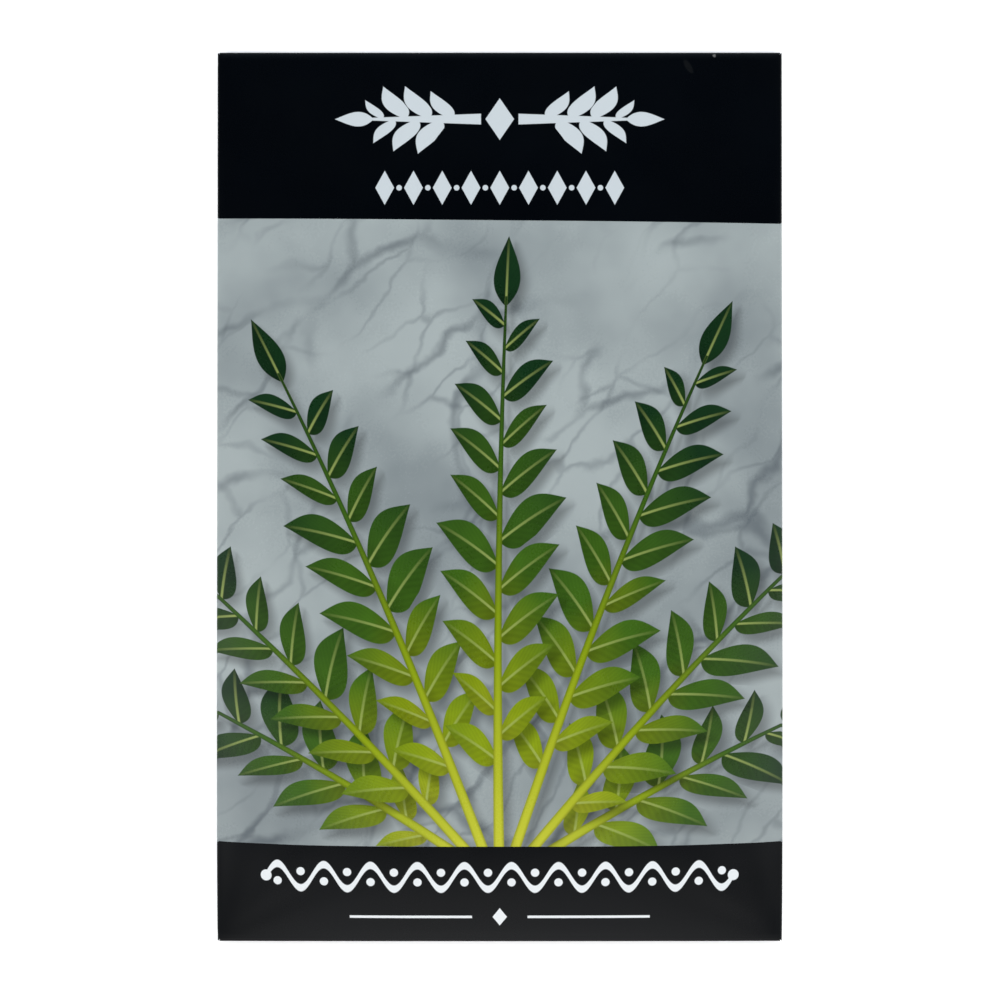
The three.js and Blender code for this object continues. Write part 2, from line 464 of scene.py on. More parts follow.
columns = lines(
    (-fold_u - TAB_WIDTH, COARSE_STEP),
    (-fold_u, FOLD_TURN / FOLD_STEPS),
    (-half_width, GRID_STEP),
    (half_width, FOLD_TURN / FOLD_STEPS),
    (fold_u, COARSE_STEP),
    (fold_u + 2 * edge_x - BACK_SHORT, 0),
)
rows = lines(
    (-fold_v - BOTTOM_FLAP, COARSE_STEP / 2),
    (-fold_v, FOLD_TURN / FOLD_STEPS),
    (-half_height, GRID_STEP),
    (MAKER_EDGE, GRID_STEP),
    (TITLE_EDGE, GRID_STEP),
    (half_height, FOLD_TURN / FOLD_STEPS),
    (fold_v, COARSE_STEP / 2),
    (fold_v + TOP_FLAP, 0),
)
blank = bmesh.new()
bmesh.ops.create_grid(blank, x_segments=len(columns) - 1, y_segments=len(rows) - 1, size=0.5)
for vert in blank.verts:
    column = round((vert.co.x + 0.5) * (len(columns) - 1))
    row = round((vert.co.y + 0.5) * (len(rows) - 1))
    vert.co = (columns[column], rows[row], 0)

corners = []
for face in blank.faces:
    middle = face.calc_center_median()
    if abs(middle.x) > half_width and abs(middle.y) > half_height:
        corners.append(face)
bmesh.ops.delete(blank, geom=corners, context="FACES")
blank_size = (columns[-1] - columns[0], rows[-1] - rows[0])
print(f"the blank is {blank_size[0] / MM:.0f} by {blank_size[1] / MM:.0f} mm, with {len(blank.faces)} faces")

# %% Give each panel its print
PANELS = ("title_print", "picture_print", "maker_print", "back_print", "bare_paper")


def panel_at(u, v):
    """The print that a place on the blank carries."""
    if u > half_width + FOLD_TURN / 2:
        return "back_print"
    if u < -half_width - FOLD_TURN / 2:
        return "bare_paper"
    if v > TITLE_EDGE:
        return "title_print"
    return "maker_print" if v < MAKER_EDGE else "picture_print"


for face in blank.faces:
    middle = face.calc_center_median()
    face.material_index = PANELS.index(panel_at(middle.x, middle.y))
    face.smooth = True

# %% Trim the blank
def flap_half_width(past, length):
    """Half the width of a flap, at a distance past its fold: tapered, with round free corners."""
    straight = half_width - FLAP_INSET * clamp(past / TRIM_RUN) - FLAP_TAPER * past / length
    into_corner = clamp((past - length + FLAP_CORNER) / FLAP_CORNER)
    return straight - FLAP_CORNER * (1 - math.sqrt(1 - into_corner**2))


def trimmed(u, v):
    """A point of the grid, drawn in to the blank's outline."""
    if abs(v) > half_height:
        length = FOLD_TURN + (TOP_FLAP if v > 0 else BOTTOM_FLAP)
        return u * flap_half_width(abs(v) - half_height, length) / half_width, v
    near_title = max(0, 1 - abs(v - TITLE_EDGE) / SLANT_FADE)
    slant = TITLE_SLANT * max(-half_width, min(half_width, u)) * near_title
    run = clamp((abs(u) - fold_u) / TRIM_RUN)
    if u > 0:
        top = half_height - THROAT * run
        bottom = -half_height + BACK_CLEAR * run
        return u, bottom + (top - bottom) * (v + slant + half_height) / height
    return u, (v + slant) * (1 - TAB_END * run / half_height)


for vert in blank.verts:
    vert.co.xy = trimmed(vert.co.x, vert.co.y)

UV_SPAN = max(blank_size)
uv_layer = blank.loops.layers.uv.new("blank")
for face in blank.faces:
    for loop in face.loops:
        flat = loop.vert.co
        loop[uv_layer].uv = ((flat.x - columns[0]) / UV_SPAN, (flat.y - rows[0]) / UV_SPAN)

# %% [markdown]
# ## Folding
#
# Folding is one rule for every point of the blank. A point of the front stays where it is and takes the
# front's height. A point past a fold line goes round half an oval between the two layers, and whatever
# lies beyond comes back underneath on its own layer. The sheet then gets its thickness from a Solidify
# modifier, which also gives the cut edges and the inside their bare paper.

# %% Fold the blank
def turned(past, top, under):
    """Out and up for a point that is past a fold line: round the fold, then back underneath. Every fold
    reaches out equally far, also where the layers stand further apart."""
    if past >= FOLD_TURN:
        return FOLD_TURN - past, under
    angle = math.pi * past / FOLD_TURN
    half_apart = (top - under) / 2
    return fold_radius * math.sin(angle), under + half_apart * (1 + math.cos(angle))


def folded(u, v):
    """Where a point of the flat blank lies in the folded packet. The folds grow longer as they turn out,
    so that two of them meet in a square corner."""
    right, top = math.copysign(1, u), math.copysign(1, v)
    across = min(1, abs(u) / half_width)
    up = min(1, abs(v) / half_height)
    x, y = edge_x * across, edge_y * up
    level = front_level(right * x, top * y)
    past_side = abs(u) - half_width
    past_end = abs(v) - half_height
    if past_side > 0:
        under = back_level if u > 0 else tab_level
        inner = edge_x - max(0, past_side - FOLD_TURN)
        out, level = turned(past_side, level, under(right * inner, top * y))
        x = edge_x + out
        y += up * max(0, out)
    elif past_end > 0:
        inner = edge_y - max(0, past_end - FOLD_TURN)
        out, level = turned(past_end, level, flap_level(right * x, top * inner))
        y = edge_y + out
        x += across * max(0, out)
    return right * x, top * y, level


for vert in blank.verts:
    vert.co = folded(vert.co.x, vert.co.y)
for edge in blank.edges:
    edge.smooth = not edge.is_boundary

packet = bpy.data.objects.new("folded_packet", bpy.data.meshes.new("folded_packet"))
blank.to_mesh(packet.data)
blank.free()
bpy.context.collection.objects.link(packet)
sheet = packet.modifiers.new("paper_thickness", "SOLIDIFY")
sheet.thickness = PAPER
sheet.offset = 0
sheet.material_offset = len(PANELS)
sheet.material_offset_rim = len(PANELS)
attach(packet, "root")
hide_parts("envelope")
print(f"the folded packet has {len(packet.data.polygons)} faces before its thickness")

# %% [markdown]
# ## The print's own coordinates
#
# The blank was printed flat, so every print reads the blank's UV map, turned back into millimetres from the
# middle of the front. That keeps the print on the paper whatever the paper does. The folds carry a little
# wear: the ink breaks along their crests, most of all at the corners, and the white paper shows.

# %% Read the flat blank
PAPER_WHITE = colour(214, 214, 209)
crest_u = (half_width + FOLD_TURN / 2) / MM
crest_v = (half_height + FOLD_TURN / 2) / MM
WEAR_WIDTH = 0.55  # reach of the wear to each side of a fold's crest
CORNER_WEAR = 5.0  # reach of the heavier wear round a corner
WEAR_PLAIN = 0.62  # wear along a plain fold, as a share of the wear at a corner
WEAR_GRAIN = 0.9  # size of the patches in which the ink breaks
WEAR_START = (0.36, 0.46)  # from where the ink thins to where it is off
WEAR_WHITE = 0.8
EDGE_SOFT = 0.06  # half the width over which a printed edge fades
SMUDGE_SIZE = 14
SMUDGE_ROUGHNESS = 0.12
TOOTH_SIZE = 0.5
TOOTH_ROUGHNESS = 0.04
TOOTH_DEPTH = 0.006 * MM
SATIN_ROUGHNESS = 0.2


def flat_place(finish):
    """A place on the flat blank, in millimetres from the middle of the front: as a vector, across and up."""
    sheet_map = finish.add("UVMap", {"uv_map": "blank"}, {})
    span = (UV_SPAN / MM, UV_SPAN / MM, 0)
    start = (columns[0] / MM, rows[0] / MM, 0)
    place = finish.add("VectorMath", {"operation": "MULTIPLY_ADD"}, {0: sheet_map, 1: span, 2: start})
    across = finish.add("SeparateXYZ", {}, {"Vector": place})
    return place, across, across.output("Y")


def fold_wear(finish, place, across, up):
    """Share of the ink that has rubbed off along the folds."""
    from_side = abs(abs(across) - crest_u)
    from_end = abs(abs(up) - crest_v)
    crest = finish.smooth(finish.smallest(from_side, from_end), WEAR_WIDTH, 0)
    corner = finish.smooth(finish.largest(from_side, from_end), CORNER_WEAR, 0)
    chance = finish.mottle(place, WEAR_GRAIN, detail=4, number=3)
    return finish.smooth(crest * (WEAR_PLAIN + corner * (1 - WEAR_PLAIN)) * chance, *WEAR_START)


def inked(finish, inside):
    """Cover of the ink, from a distance inside an outline."""
    return finish.smooth(inside, -EDGE_SOFT, EDGE_SOFT)


def printed(finish, place, across, up, ink, shine):
    """Ends a printed paper: ink with worn folds, a satin coat with smudges, and the paper's fine tooth."""
    tone = finish.over(ink, PAPER_WHITE, fold_wear(finish, place, across, up) * WEAR_WHITE)
    smudges = finish.mottle(place, SMUDGE_SIZE, detail=3, number=8)
    tooth = finish.mottle(place, TOOTH_SIZE, detail=3, number=5)
    roughness = smudges * SMUDGE_ROUGHNESS + tooth * TOOTH_ROUGHNESS + SATIN_ROUGHNESS
    return finish.surface(tone, roughness, tooth, TOOTH_DEPTH, shine)


# %% [markdown]
# ## A leafy stem in formulas
#
# The picture is a fan of leafy stems. One stem is drawn by asking, for every place, which leaf it would
# belong to: how far along the stem that leaf grows, how far out along the leaf the place is, and how far
# off the leaf's midrib. A leaf is where the last is less than half the leaf's width there. The answer is a
# distance inside the outline, which gives a clean edge and a soft shade round it.

# %% Draw a stem with its leaves
Stem = namedtuple("Stem", "number root lean length bow leaf spacing")
Drawn = namedtuple("Drawn", "inside stalk along off_rib reach chance")
LEAF_ANGLE = math.radians(48)
LEAF_CURL = 0.22
LEAF_FULLNESS = 0.68
LEAF_TAPER = 1.55  # the nearer to 1, the nearer to its foot a leaf is broadest
LEAF_SWAY = 0.16  # how far a leaf's own lean moves its tip, as a share of its length
LEAF_STAGGER = 0.25  # each side's leaves are moved by this share of the spacing, so that they alternate
LEAF_LEAST = 0.45  # size of the leaves at the two ends of the stem
LEAF_SWELL = 2.2  # how much larger they grow between
LEAF_CHANCE = (0.74, 0.28)  # least size by chance, and what chance adds to it
FIRST_LEAF = 0.16
LAST_LEAF = 0.95
STEM_HALF = 0.75
STEM_TAPER = 1.3
TIP_LEAF = 0.8  # length of the leaf at the stem's tip, as a share of the largest leaf
TIP_TUCK = 0.15  # share of that leaf that lies below the stem's end


def leaf_half(reach, size):
    """Half the width of a leaf, at a share of its length: broad near its foot and pointed at its tip."""
    return reach * (1 - reach) * (LEAF_TAPER - reach) * size * LEAF_FULLNESS


def draw_stem(finish, across, up, stem):
    """Distance inside the outline of a stem and its leaves, and what colours them."""
    ahead, aside = math.cos(stem.lean), math.sin(stem.lean)
    right = across - stem.root[0]
    above = up - stem.root[1]
    along = right * aside + above * ahead
    beside = right * ahead - above * aside - along * along * (stem.bow / stem.length)
    away = abs(beside)
    hand = finish.maths("SIGN", beside) * LEAF_STAGGER
    level = along - away / math.tan(LEAF_ANGLE) + away * away * (LEAF_CURL / stem.leaf)
    step = level / stem.spacing + hand
    number = finish.maths("ROUND", step)
    foot = (number - hand) * (stem.spacing / stem.length)
    held = finish.smallest(finish.largest(foot, 0), 1)
    pair = finish.add("CombineXYZ", {}, {"X": number + hand, "Y": float(stem.number)})
    chance = finish.add("TexWhiteNoise", {"noise_dimensions": "2D"}, {"Vector": pair})
    off_rib = (step - number) * (stem.spacing * math.sin(LEAF_ANGLE)) + (chance - 0.5) * away * LEAF_SWAY
    by_chance = chance * LEAF_CHANCE[1] + LEAF_CHANCE[0]
    size = (held * (1 - held) * LEAF_SWELL + LEAF_LEAST) * by_chance * stem.leaf
    reach = away / size / math.sin(LEAF_ANGLE)
    short = finish.smallest(reach, 1)
    grows = (foot > FIRST_LEAF) * (foot < LAST_LEAF)
    leaf = leaf_half(short, size) - abs(off_rib) - (reach - short + 1 - grows) * stem.leaf
    half_stalk = (STEM_TAPER - along / stem.length) * STEM_HALF
    stalk = finish.smallest(half_stalk - away, along, stem.length - along)
    tip_size = TIP_LEAF * stem.leaf
    tip_reach = (along - stem.length + TIP_TUCK * tip_size) / tip_size
    tip_short = finish.smallest(tip_reach, 1)
    tip = leaf_half(tip_short, tip_size) - away - (tip_reach - tip_short) * tip_size
    at_tip = tip > leaf
    return Drawn(
        inside=finish.largest(leaf, stalk, tip),
        stalk=stalk,
        along=along / stem.length,
        off_rib=off_rib + (beside - off_rib) * at_tip,
        reach=short + (tip_short - short) * at_tip,
        chance=chance,
    )


# %% [markdown]
# ## The picture
#
# The ground is pale stone: soft clouds and a few wandering veins. Seven stems fan out from the foot of the
# panel. Their leaves go from yellow-green at the foot to dark green at the tips, no two leaves have quite
# the same tone, and each stem shades what lies behind it.

# %% Print the picture
STONE_PALE = colour(163, 171, 170)
STONE_GREY = colour(124, 132, 134)
CLOUD_SIZE = 34
CLOUD_RANGE = (0.28, 0.68)
VEIN_GREY = colour(78, 86, 92)
VEIN_SLANT = math.radians(48)
VEIN_STRETCH = (1.7, 0.75, 1)
VEIN_SWAY = (16, 16, 0)
SWAY_SIZE = 18
PATCH_SIZE = 22  # the veins come and go in patches
PATCH_RANGE = (0.38, 0.62)
VEINS = (
    # size of the net, half width of a vein, strength, pattern
    (21, 1.5, 0.62, 11),
    (10, 0.8, 0.36, 12),
)
LEAF_TONES = (
    (0.0, colour(174, 176, 44)),
    (0.28, colour(124, 142, 16)),
    (0.54, colour(56, 90, 20)),
    (0.9, colour(14, 42, 18)),
)
RIPENESS = (0.95, 0.12, 0.16, -0.1)  # by place on the stem, by place on the leaf, by chance, at the start
LEAF_LIGHT = (0.3, 0.05, 0.25, 0.4, 0.48)  # by half, by side veins, by chance, by mottling, at least
HALF_SOFT = 0.5  # half the width over which a leaf's two halves meet
SIDE_VEINS = 9
SIDE_VEIN_LEAN = 1.2
LEAF_MOTTLE = 3
FOOT_SHADE = (0.35, 0.7)  # share of a leaf that is shaded at its foot, and the light that is left there
RIB_TONE = colour(170, 184, 104)
RIB_EDGE = (0.32, 0.08)  # off its middle, where a midrib starts and where it is full
RIB_STRENGTH = 0.65
STALK_RIPENESS = (0.85, -0.05)
STALK_ROUND = (-0.1, 0.6)
STALK_LIGHT = (0.65, 0.55)
STALK_EDGE = (-0.08, 0.12)
SHADE_SHIFT = (1.2, -1.5)  # how far a stem's shade falls from it
SHADE_SOFT = 1.5
SHADE_DEPTH = 0.5
PICTURE_SHINE = 0.25
FAN_FOOT = -66.0
FAN_SPREAD = 5  # how far the outer stems' feet stand from the middle
FAN_LEAF = 16
FAN_SPACING = 8.6
FAN_STEMS = (
    # lean in degrees, length, bow
    (56, 60, 0.12),
    (-54, 62, -0.12),
    (38, 82, 0.10),
    (-40, 80, -0.10),
    (18, 98, 0.06),
    (-20, 96, -0.06),
    (-1, 102, 0.03),
)


def stone(finish, place):
    """A clouded pale ground with a net of soft veins, drawn out on the slant."""
    clouds = finish.mottle(place, CLOUD_SIZE, detail=4, number=1)
    tone = finish.over(STONE_GREY, STONE_PALE, finish.smooth(clouds, *CLOUD_RANGE))
    sway = finish.mottle(place, SWAY_SIZE, detail=4, number=2).output("Color")
    swayed = finish.add("VectorMath", {"operation": "MULTIPLY_ADD"}, {0: sway, 1: VEIN_SWAY, 2: place})
    turn = {"Vector": swayed, "Rotation": (0, 0, VEIN_SLANT), "Scale": VEIN_STRETCH}
    slanted = finish.add("Mapping", {"vector_type": "TEXTURE"}, turn)
    for size, half_wide, strength, number in VEINS:
        net = {"Vector": slanted, "Scale": 1 / size}
        from_vein = finish.add("TexVoronoi", {"feature": "DISTANCE_TO_EDGE", "voronoi_dimensions": "2D"}, net)
        patches = finish.smooth(finish.mottle(place, PATCH_SIZE, 2, number), *PATCH_RANGE)
        vein = finish.smooth(from_vein * size, half_wide, 0) * patches
        tone = finish.over(tone, VEIN_GREY, vein * strength)
    return tone


def leaf_tone(finish, place, drawn):
    """The colour of a leaf: by where it grows, by chance, by its midrib and by its two halves."""
    by_stem, by_leaf, by_chance, start = RIPENESS
    ripe = drawn.along * by_stem + drawn.reach * by_leaf + drawn.chance * by_chance + start
    tone = finish.add("ValToRGB", {"stops": LEAF_TONES}, {"Fac": ripe})
    veins = finish.maths("SINE", (drawn.reach * SIDE_VEINS - abs(drawn.off_rib) * SIDE_VEIN_LEAN) * math.tau)
    halves = finish.smooth(drawn.off_rib, -HALF_SOFT, HALF_SOFT)
    mottling = finish.mottle(place, LEAF_MOTTLE, detail=3, number=21)
    by_half, by_vein, by_chance, by_mottling, least = LEAF_LIGHT
    light = halves * by_half + veins * by_vein + drawn.chance * by_chance + mottling * by_mottling + least
    shaded, left = FOOT_SHADE
    tone = finish.dimmed(tone, light * (finish.smooth(drawn.reach, 0, shaded) * (1 - left) + left))
    rib = finish.smooth(abs(drawn.off_rib), *RIB_EDGE) * (1 - drawn.reach) * RIB_STRENGTH
    tone = finish.over(tone, RIB_TONE, rib)
    stalk_ripe = drawn.along * STALK_RIPENESS[0] + STALK_RIPENESS[1]
    stalk_tone = finish.add("ValToRGB", {"stops": LEAF_TONES}, {"Fac": stalk_ripe})
    round_light = finish.smooth(drawn.stalk, *STALK_ROUND) * STALK_LIGHT[1] + STALK_LIGHT[0]
    return finish.over(tone, finish.dimmed(stalk_tone, round_light), finish.smooth(drawn.stalk, *STALK_EDGE))


picture = new_finish("picture_print")
place, across, up = flat_place(picture)
ink = stone(picture, place)
for number, (lean, length, bow) in enumerate(FAN_STEMS):
    foot = (FAN_SPREAD * math.sin(math.radians(lean)), FAN_FOOT)
    stem = Stem(number, foot, math.radians(lean), length, bow, FAN_LEAF, FAN_SPACING)
    drawn = draw_stem(picture, across, up, stem)
    shade = draw_stem(picture, across - SHADE_SHIFT[0], up - SHADE_SHIFT[1], stem).inside
    ink = picture.dimmed(ink, 1 - picture.smooth(shade, -SHADE_SOFT, SHADE_SOFT) * SHADE_DEPTH)
    ink = picture.over(ink, leaf_tone(picture, place, drawn), inked(picture, drawn.inside))
picture_material = printed(picture, place, across, up, ink, PICTURE_SHINE)

# %% [markdown]
# ## The two black bands
#
# The bands are solid black with off-white ornament: a garland and a row of lozenges on the upper one, and a
# running wave with dots and a pair of rules on the lower one. Each ornament is again a distance inside its
# outline, and the largest distance wins.

# %% Print the bands
BAND_BLACK = colour(1, 3, 6)
BAND_SHINE = 0.112
BAND_CLOUDS = 20
BAND_DEPTH = (0.6, 0.8)  # least depth of the black, and what its clouds add to it
NICK_SPOT = (38.9, 79.75)
NICK_HALF = (0.46, 0.34)
NICK_GRAIN = 0.4
NICK_EDGE = (0.3, 0.8)
NICK_WHITE = 0.18
SCUFF_SPOT = (34.2, 77.8)
SCUFF_HALF = (0.65, 1.7)
SCUFF_LEAN = math.radians(32)
SCUFF_EDGE = (0, 0.7)
SCUFF_WHITE = 0.006
TITLE_WHITE = colour(196, 203, 206)
MAKER_WHITE = colour(226, 229, 230)
GARLAND_LEVEL = 68.2
GARLAND_LENGTH = 20.5
LOZENGE_LEVEL = 55.7
LOZENGE_SPACING = 5.2
LOZENGES = 4  # on each side of the middle one
WAVE_LEVEL = -67.8
WAVE_REACH = 42.0
WAVE_SWING = 2.2
WAVE_SPACING = 8.4
STROKE_HALF = 0.42
STROKE_SLOPE = 0.62  # allows for the slope of the wave, so that its stroke isn't too thin there
DOT_RADIUS = 0.75
DOT_RISE = 0.9
RULE_LEVEL = -75.3
RULE_THICK = 0.24
RULE_MIDDLE = 16.0
RULE_HALF = 11.0


def oval(across, up, spot, half_wide, half_tall, lean):
    """1 in the middle of a leaning oval, 0 on its rim."""
    aside = ((across - spot[0]) * math.cos(lean) + (up - spot[1]) * math.sin(lean)) / half_wide
    above = ((up - spot[1]) * math.cos(lean) - (across - spot[0]) * math.sin(lean)) / half_tall
    return 1 - aside * aside - above * above


def lozenges(finish, across, up, level, spacing, count, half_wide, half_tall):
    """A level row of lozenges, with `count` on each side of the middle one."""
    nearest = finish.smallest(finish.largest(finish.maths("ROUND", across / spacing), -count), count)
    aside = abs(across - nearest * spacing) / half_wide
    return (1 - aside - abs(up - level) / half_tall) * half_wide


def dots(finish, across, up, level, spacing, shift, reach, radius):
    """A level row of dots."""
    nearest = (finish.maths("ROUND", across / spacing - shift) + shift) * spacing
    aside = across - nearest
    above = up - level
    apart = finish.maths("SQRT", aside * aside + above * above)
    return finish.smallest(radius - apart, reach - abs(across))


def title_ornament(finish, across, up):
    """Two leafy stems that run out from a lozenge, over a row of lozenges and dots."""
    foot = (3.4, GARLAND_LEVEL)
    stem = Stem(0, foot, lean=math.pi / 2, length=GARLAND_LENGTH, bow=0, leaf=8.8, spacing=4.2)
    row = (finish, across, up, LOZENGE_LEVEL, LOZENGE_SPACING)
    return finish.largest(
        draw_stem(finish, abs(across), up, stem).inside,
        lozenges(finish, across, up, GARLAND_LEVEL, spacing=1.0, count=0, half_wide=2.6, half_tall=3.8),
        lozenges(*row, count=LOZENGES, half_wide=1.7, half_tall=3.1),
        dots(*row, shift=0.5, reach=LOZENGE_SPACING * LOZENGES, radius=0.5),
    )


def maker_ornament(finish, across, up):
    """A wave with a dot in each hollow, over two rules with a lozenge between them."""
    sway = finish.maths("SINE", across * (math.tau / WAVE_SPACING)) * WAVE_SWING
    off_wave = abs(up - WAVE_LEVEL - sway) * STROKE_SLOPE
    wave = finish.smallest(STROKE_HALF - off_wave, WAVE_REACH - abs(across))
    rule = finish.smallest(RULE_THICK - abs(up - RULE_LEVEL), RULE_HALF - abs(abs(across) - RULE_MIDDLE))
    return finish.largest(
        wave,
        oval(abs(across), up, (WAVE_REACH, WAVE_LEVEL), half_wide=1.0, half_tall=1.0, lean=0) * 0.5,
        dots(finish, across, up, WAVE_LEVEL - DOT_RISE, WAVE_SPACING, 0.25, WAVE_REACH, DOT_RADIUS),
        dots(finish, across, up, WAVE_LEVEL + DOT_RISE, WAVE_SPACING, -0.25, WAVE_REACH, DOT_RADIUS),
        rule,
        lozenges(finish, across, up, RULE_LEVEL, spacing=1.0, count=0, half_wide=1.3, half_tall=1.7),
    )


def title_marks(finish, place, across, up):
    """Share of the ink lost to a nick in the top fold and to a faint scuff beside it."""
    broken = finish.mottle(place, NICK_GRAIN, detail=3, number=6) * 2 - 1
    nick = finish.smooth(oval(across, up, NICK_SPOT, *NICK_HALF, lean=0) + broken, *NICK_EDGE)
    scuff = finish.smooth(oval(across, up, SCUFF_SPOT, *SCUFF_HALF, SCUFF_LEAN), *SCUFF_EDGE)
    return finish.largest(nick * NICK_WHITE, scuff * SCUFF_WHITE)


def no_marks(finish, place, across, up):
    return 0.0


def band_print(name, ornament, white, marks):
    finish = new_finish(name)
    place, across, up = flat_place(finish)
    clouds = finish.mottle(place, BAND_CLOUDS, detail=3, number=15)
    black = finish.dimmed(BAND_BLACK, clouds * BAND_DEPTH[1] + BAND_DEPTH[0])
    tone = finish.over(black, white, inked(finish, ornament(finish, across, up)))
    tone = finish.over(tone, PAPER_WHITE, marks(finish, place, across, up))
    return printed(finish, place, across, up, tone, BAND_SHINE)


title_material = band_print("title_print", title_ornament, TITLE_WHITE, title_marks)
maker_material = band_print("maker_print", maker_ornament, MAKER_WHITE, no_marks)

# %% [markdown]
# ## The back and the bare paper
#
# The back is printed on the same sheet, in one dark green and its tints on warm white: a double frame, a
# garland, a block for the growing notes, a strip of twelve months and a sketch of how deep to sow, with a
# small rule. The inside of the packet and its cut edges are bare paper with fine fibres.

# %% Draw the back's ornaments
back_middle = (fold_u + edge_x) / MM
FRAME_CENTRE = (0, -3.0)
FRAME_HALF = (43.0, 54.0)
FRAME_GAP = 1.2
BACK_GARLAND = Stem(2, (3.2, 43.5), lean=math.pi / 2, length=20, bow=0, leaf=7.6, spacing=3.7)
NOTES_CENTRE = (0, 13.0)
NOTES_HALF = (34.0, 22.0)
NOTES_STEM = Stem(3, (0, -7.0), lean=0, length=30, bow=0, leaf=12, spacing=6.0)
MONTH_WIDTH = 5.6
MONTHS_CENTRE = (0, -18.0)
MONTHS_HALF = (6 * MONTH_WIDTH, 3.2)
SOWING_MONTHS = (-4.5, -0.5)  # from and to, counted in months from the middle of the year
SOIL_CENTRE = (0, -42.5)
SOIL_HALF = (34.0, 8.5)
SOIL_LEVEL = SOIL_CENTRE[1] + SOIL_HALF[1]
SEED_DEPTH = 5.0
SEED_SPACING = 14.0
TICK_SPACING = 2.0
TICK_HALF = 0.13
TICK_LENGTH = 1.6
RULER_PLACE = 31.0
LONG_TICK = 5  # every so many ticks, one is longer
LINE_HALF = 0.14
SPROUT_RISE = 3.4  # of a sprout's middle above the soil


def block(finish, across, up, centre, half):
    """Distance inside a rectangle."""
    return finish.smallest(half[0] - abs(across - centre[0]), half[1] - abs(up - centre[1]))


def double_frame(finish, across, up):
    inside = block(finish, across, up, FRAME_CENTRE, FRAME_HALF)
    return finish.largest(2 * LINE_HALF - abs(inside), LINE_HALF - abs(inside - FRAME_GAP))


def month_lines(finish, across, months):
    """The outline of the strip of months, and the lines between them."""
    share = finish.maths("FRACT", across / MONTH_WIDTH)
    from_line = (0.5 - abs(share - 0.5)) * MONTH_WIDTH
    return finish.smallest(LINE_HALF - finish.smallest(abs(months), from_line), months + LINE_HALF)


def sowing_sketch(finish, across, up):
    """Three seeds under the soil's surface, a sprout over each, and a rule for the depth."""
    tick = TICK_HALF - abs(finish.maths("WRAP", up - SOIL_LEVEL, TICK_SPACING / 2, -TICK_SPACING / 2))
    long_step = LONG_TICK * TICK_SPACING
    fifth = abs(finish.maths("WRAP", up - SOIL_LEVEL, long_step / 2, -long_step / 2)) < TICK_SPACING / 2
    length = (fifth + 1) * TICK_LENGTH
    in_soil = block(finish, across, up, SOIL_CENTRE, SOIL_HALF)
    return finish.largest(
        finish.smallest(2 * LINE_HALF - abs(up - SOIL_LEVEL), SOIL_HALF[0] - abs(across)),
        dots(finish, across, up, SOIL_LEVEL - SEED_DEPTH, SEED_SPACING, 0, 1.4 * SEED_SPACING, radius=1.0),
        lozenges(finish, across, up, SOIL_LEVEL + SPROUT_RISE, SEED_SPACING, 1, half_wide=1.2, half_tall=3.2),
        finish.smallest(tick, length - abs(across - RULER_PLACE), in_soil + TICK_HALF),
    )


# %% Print the back
BACK_WHITE = colour(226, 225, 216)
BACK_GREEN = colour(38, 74, 44)
BACK_TINT = colour(198, 208, 176)
BACK_SHINE = 0.3
BACK_CLOUDS = 25
BACK_DEPTH = (0.93, 0.1)  # least lightness of the white, and what its clouds add to it
TINT_STRENGTH = 0.5
WATERMARK_STRENGTH = 0.16
MONTH_STRENGTH = 0.75
FIBRE_SIZE = 0.7 * MM
FIBRE_DEPTH = 0.01 * MM
FIBRE_SHADE = 0.16
PAPER_CLOUDS = 12 * MM
PAPER_SHADE = 0.08
PAPER_LEAST = 0.86
PAPER_ROUGHNESS = (0.8, 0.1)  # least roughness, and what the fibres add to it
PAPER_SHINE = 0.3


def back_print():
    finish = new_finish("back_print")
    place, across, up = flat_place(finish)
    across_back = across - back_middle
    clouds = finish.mottle(place, BACK_CLOUDS, detail=3, number=31)
    tone = finish.dimmed(BACK_WHITE, clouds * BACK_DEPTH[1] + BACK_DEPTH[0])
    notes = block(finish, across_back, up, NOTES_CENTRE, NOTES_HALF)
    soil = block(finish, across_back, up, SOIL_CENTRE, SOIL_HALF)
    tone = finish.over(tone, BACK_TINT, inked(finish, finish.largest(notes, soil)) * TINT_STRENGTH)
    watermark = draw_stem(finish, across_back, up, NOTES_STEM).inside
    tone = finish.over(tone, BACK_GREEN, inked(finish, watermark) * WATERMARK_STRENGTH)
    months = block(finish, across_back, up, MONTHS_CENTRE, MONTHS_HALF)
    month = finish.maths("FLOOR", across_back / MONTH_WIDTH)
    sowing = (month > SOWING_MONTHS[0]) * (month < SOWING_MONTHS[1])
    tone = finish.over(tone, BACK_GREEN, inked(finish, months) * sowing * MONTH_STRENGTH)
    drawn = finish.largest(
        double_frame(finish, across_back, up),
        draw_stem(finish, abs(across_back), up, BACK_GARLAND).inside,
        lozenges(finish, across_back, up, BACK_GARLAND.root[1], 1.0, 0, half_wide=1.8, half_tall=2.7),
        month_lines(finish, across_back, months),
        sowing_sketch(finish, across_back, up),
    )
    tone = finish.over(tone, BACK_GREEN, inked(finish, drawn))
    return printed(finish, place, across, up, tone, BACK_SHINE)


def bare_paper():
    finish = new_finish("bare_paper")
    place = finish.add("TexCoord", {}, {}).output("Object")
    fibres = finish.mottle(place, FIBRE_SIZE, detail=4, number=41)
    clouds = finish.mottle(place, PAPER_CLOUDS, detail=3, number=42)
    tone = finish.dimmed(PAPER_WHITE, fibres * FIBRE_SHADE + clouds * PAPER_SHADE + PAPER_LEAST)
    roughness = fibres * PAPER_ROUGHNESS[1] + PAPER_ROUGHNESS[0]
    return finish.surface(tone, roughness, fibres, FIBRE_DEPTH, PAPER_SHINE)


